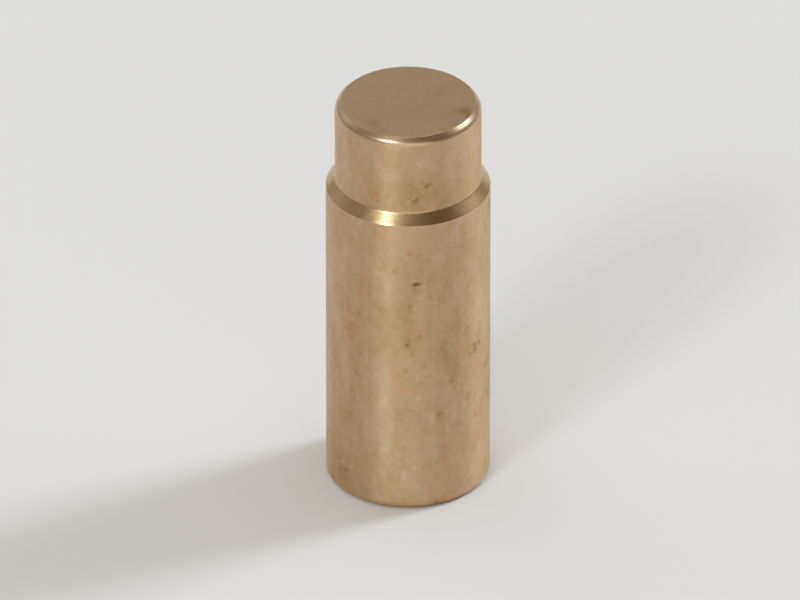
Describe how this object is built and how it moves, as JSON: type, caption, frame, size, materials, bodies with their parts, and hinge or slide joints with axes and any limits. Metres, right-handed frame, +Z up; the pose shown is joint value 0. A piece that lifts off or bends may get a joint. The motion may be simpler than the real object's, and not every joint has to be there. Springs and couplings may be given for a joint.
{
  "type": "cylindrical pin",
  "caption": "Short turned brass pin that stands on its flat foot: a plain round body, a conical shoulder, and a slightly thinner spigot with a chamfered flat tip.",
  "frame": {"origin": "centre of the flat foot, the full-diameter end that the pin stands on", "axes": "+Z up the pin's axis, from the foot to the spigot's tip; X and Y are any two directions across it"},
  "size_m": [0.004, 0.004, 0.0104],
  "materials": {
    "brass": "satin, lightly tarnished, with bright shoulder and chamfer"
  },
  "bodies": {
    "root": {"pin": "brass"}
  },
  "joints": []
}
